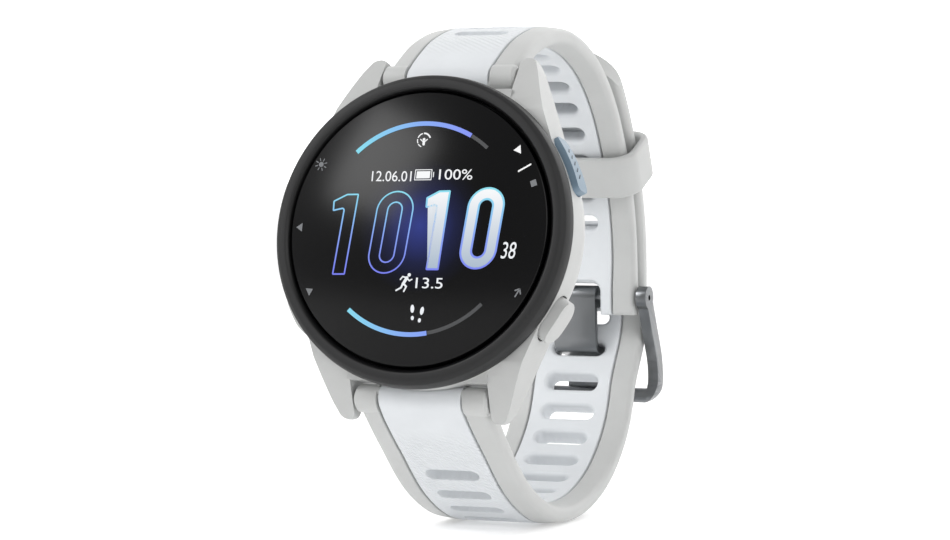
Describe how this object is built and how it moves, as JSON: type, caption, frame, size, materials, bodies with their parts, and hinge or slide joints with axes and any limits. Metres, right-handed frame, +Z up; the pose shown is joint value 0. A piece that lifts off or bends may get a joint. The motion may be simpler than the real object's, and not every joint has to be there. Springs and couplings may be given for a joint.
{
  "type": "gps running watch",
  "caption": "Round sports watch with push buttons and a flat glass face, on a two-colour slotted silicone strap closed into a loop by a pin buckle and a keeper.",
  "frame": {"origin": "middle of the watch's footprint box, on the surface that the lowest point of the closed strap touches", "axes": "+Z up through the closed strap loop, -Y the side the face looks to (it leans back 12.2 degrees), +X the wearer's 3 o'clock side, along the spring bars and the buckle's bar"},
  "size_m": [0.0437, 0.07, 0.071],
  "materials": {
    "case_grey": "fine matte moulded polymer, light grey",
    "bezel_black": "fine-grained matt black fibre-filled polymer",
    "cover_glass": "chemically strengthened polished glass",
    "display": "glossy black display panel",
    "grey_silicone": "matte moulded silicone, light grey",
    "white_silicone": "matte moulded silicone, cool white with fine ribs",
    "blue_grey_polymer": "satin moulded polymer, blue grey",
    "gunmetal_steel": "brushed stainless steel, gunmetal",
    "bright_steel": "turned stainless steel",
    "contact_gold": "gold-plated contacts",
    "black_rubber": "black moulded rubber",
    "board_green": "solder-masked laminate",
    "foil_pouch": "aluminium laminate pouch",
    "inner_polymer": "black glass-filled polymer",
    "sensor_black": "polished dark filter window",
    "dark_screw": "blackened steel"
  },
  "bodies": {
    "watch": {"mid_case": "case_grey", "bezel": "bezel_black", "lens": "cover_glass", "lens_gasket": "black_rubber", "display_panel": "display", "chassis": "inner_polymer", "battery": "foil_pouch", "vibration_motor": "bright_steel", "beeper": "inner_polymer", "main_board": "board_green", "sensor_board": "board_green", "back_gasket": "black_rubber", "back_cover": "case_grey", "sensor_window": "sensor_black", "upper_strap_frame": "grey_silicone", "upper_strap_core": "white_silicone", "lower_strap_frame": "grey_silicone", "lower_strap_core": "white_silicone", "upper_bar": "bright_steel", "lower_bar": "bright_steel", "buckle_bar": "bright_steel", "charge_contact_1": "contact_gold", "back_screw_1": "dark_screw", "charge_contact_2": "contact_gold", "back_screw_2": "dark_screw", "charge_contact_3": "contact_gold", "back_screw_3": "dark_screw", "charge_contact_4": "contact_gold", "back_screw_4": "dark_screw", "start_seal": "black_rubber", "start_switch": "bright_steel", "back_seal": "black_rubber", "back_switch": "bright_steel", "light_seal": "black_rubber", "light_switch": "bright_steel", "up_seal": "black_rubber", "up_switch": "bright_steel", "down_seal": "black_rubber", "down_switch": "bright_steel"},
    "start_button": {"start_button": "blue_grey_polymer"},
    "back_button": {"back_button": "case_grey"},
    "light_button": {"light_button": "case_grey"},
    "up_button": {"up_button": "case_grey"},
    "down_button": {"down_button": "case_grey"},
    "keeper": {"keeper": "grey_silicone"},
    "buckle_frame": {"buckle_frame": "gunmetal_steel"},
    "buckle_tongue": {"buckle_tongue": "gunmetal_steel"},
    "upper_release_pin": {"upper_release_pin": "bright_steel"},
    "lower_release_pin": {"lower_release_pin": "bright_steel"}
  },
  "joints": [
    {"name": "start_press", "type": "slide", "parent": "watch", "child": "start_button", "axis": [-0.887, -0.0976, -0.4513], "range_m": [0, 0.0005], "stiffness_N_per_m": 1500, "springref_m": -0.0005},
    {"name": "back_press", "type": "slide", "parent": "watch", "child": "back_button", "axis": [-0.8572, 0.1088, 0.5034], "range_m": [0, 0.0005], "stiffness_N_per_m": 1500, "springref_m": -0.0005},
    {"name": "light_press", "type": "slide", "parent": "watch", "child": "light_button", "axis": [0.866, -0.1057, -0.4887], "range_m": [0, 0.0005], "stiffness_N_per_m": 1500, "springref_m": -0.0005},
    {"name": "up_press", "type": "slide", "parent": "watch", "child": "up_button", "axis": [1, 0, 0], "range_m": [0, 0.0005], "stiffness_N_per_m": 1500, "springref_m": -0.0005},
    {"name": "down_press", "type": "slide", "parent": "watch", "child": "down_button", "axis": [0.866, 0.1057, 0.4887], "range_m": [0, 0.0005], "stiffness_N_per_m": 1500, "springref_m": -0.0005},
    {"name": "keeper_slide", "type": "slide", "parent": "watch", "child": "keeper", "axis": [0, 0.4078, -0.9131], "range_m": [-0.0018, 0.0018]},
    {"name": "buckle_frame_hinge", "type": "hinge", "parent": "watch", "child": "buckle_frame", "pos_m": [0, 0.02885, 0.03125], "axis": [1, 0, 0], "range_deg": [-2, 1.5]},
    {"name": "buckle_tongue_hinge", "type": "hinge", "parent": "buckle_frame", "child": "buckle_tongue", "pos_m": [0, 0.02885, 0.03125], "axis": [1, 0, 0], "range_deg": [0, 1]},
    {"name": "upper_pin_release", "type": "slide", "parent": "watch", "child": "upper_release_pin", "axis": [-1, 0, 0], "range_m": [0, 0.0012], "stiffness_N_per_m": 800, "springref_m": -0.0005},
    {"name": "lower_pin_release", "type": "slide", "parent": "watch", "child": "lower_release_pin", "axis": [-1, 0, 0], "range_m": [0, 0.0012], "stiffness_N_per_m": 800, "springref_m": -0.0005}
  ]
}
